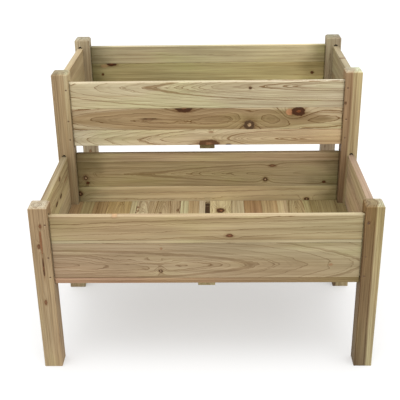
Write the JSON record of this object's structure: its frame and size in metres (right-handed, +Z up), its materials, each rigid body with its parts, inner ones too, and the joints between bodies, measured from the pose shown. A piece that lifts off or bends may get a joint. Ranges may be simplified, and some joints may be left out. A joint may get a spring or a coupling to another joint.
{
  "type": "two-tier raised planter",
  "caption": "Two-tier wooden raised planter: an open lower box and a higher rear box slotted between square legs, with panel floors.",
  "frame": {"origin": "on the ground, under the middle of the planter's outline", "axes": "+Z up, -Y towards the low front box, +X to the right when facing the front"},
  "size_m": [0.87, 0.87, 0.689],
  "materials": {
    "leg_wood": "matt",
    "wall_wood": "matt",
    "floor_wood": "matt",
    "support_wood": "matt",
    "nail_steel": "dull galvanised",
    "screw_steel": "zinc plated"
  },
  "bodies": {
    "root": {"front_left_leg": "leg_wood", "front_right_leg": "leg_wood", "middle_left_leg": "leg_wood", "middle_right_leg": "leg_wood", "rear_left_leg": "leg_wood", "rear_right_leg": "leg_wood", "lower_front_wall": "wall_wood", "lower_back_wall": "wall_wood", "lower_left_wall": "wall_wood", "lower_right_wall": "wall_wood", "upper_front_wall": "wall_wood", "upper_back_wall": "wall_wood", "upper_left_wall": "wall_wood", "upper_right_wall": "wall_wood", "lower_left_floor_panel": "floor_wood", "lower_right_floor_panel": "floor_wood", "upper_left_floor_panel": "floor_wood", "upper_right_floor_panel": "floor_wood", "lower_centre_beam": "support_wood", "upper_centre_beam": "support_wood", "lower_front_cleat": "support_wood", "lower_back_cleat": "support_wood", "lower_left_cleat": "support_wood", "lower_right_cleat": "support_wood", "upper_front_cleat": "support_wood", "upper_back_cleat": "support_wood", "upper_left_cleat": "support_wood", "upper_right_cleat": "support_wood", "lower_wall_nails": "nail_steel", "upper_wall_nails": "nail_steel", "lower_cleat_screws": "screw_steel", "upper_cleat_screws": "screw_steel", "lower_beam_screws": "screw_steel", "upper_beam_screws": "screw_steel"}
  },
  "joints": []
}
